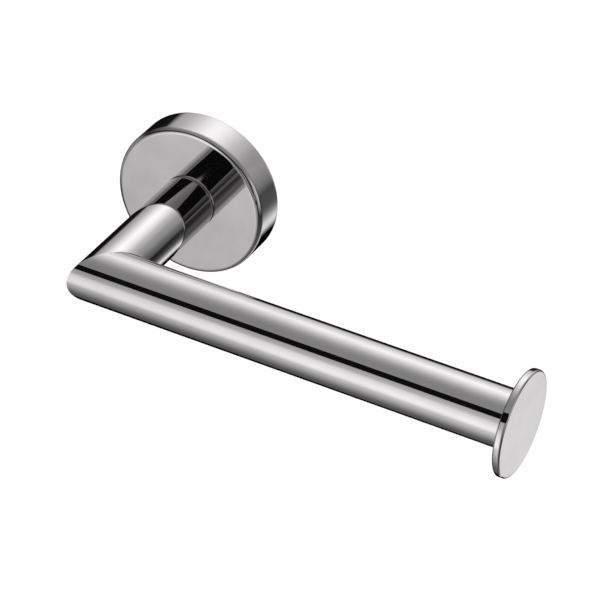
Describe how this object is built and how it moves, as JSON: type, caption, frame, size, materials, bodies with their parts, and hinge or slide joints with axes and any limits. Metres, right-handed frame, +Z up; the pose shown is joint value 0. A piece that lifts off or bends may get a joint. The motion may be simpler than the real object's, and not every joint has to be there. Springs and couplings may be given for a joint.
{
  "type": "toilet paper holder",
  "caption": "Open-arm toilet paper holder with a round wall flange, a straight post and a mitred arm that ends in a round stop disc.",
  "frame": {"origin": "centre of the wall base's flat back, on the wall and on the post's axis", "axes": "+Z up, +Y into the wall, so the room is on the -Y side; the post runs out along -Y and the arm runs along +X"},
  "size_m": [0.1802, 0.0862, 0.0564],
  "materials": {
    "polished_steel": "mirror polished",
    "zinc_casting": "as cast, matt",
    "plated_steel": "bright zinc plated",
    "black_steel": "black oxide"
  },
  "bodies": {
    "wall_side": {"wall_base": "zinc_casting"},
    "holder": {"flange_cover": "polished_steel", "flange_hub": "zinc_casting", "post_tube": "polished_steel", "post_plug": "plated_steel", "post_screw": "plated_steel", "post_washer": "plated_steel", "post_lock_washer": "plated_steel", "locating_pin": "plated_steel", "arm_tube": "polished_steel", "arm_plug": "plated_steel", "disc_stud": "plated_steel", "stop_disc": "polished_steel"},
    "set_screw": {"set_screw": "black_steel"}
  },
  "joints": [
    {"name": "holder_pull_off", "type": "slide", "parent": "wall_side", "child": "holder", "axis": [0, -1, 0], "range_m": [0, 0.012]},
    {"name": "set_screw_travel", "type": "slide", "parent": "holder", "child": "set_screw", "axis": [0, 0, 1], "range_m": [-0.002, 0.0016]}
  ]
}
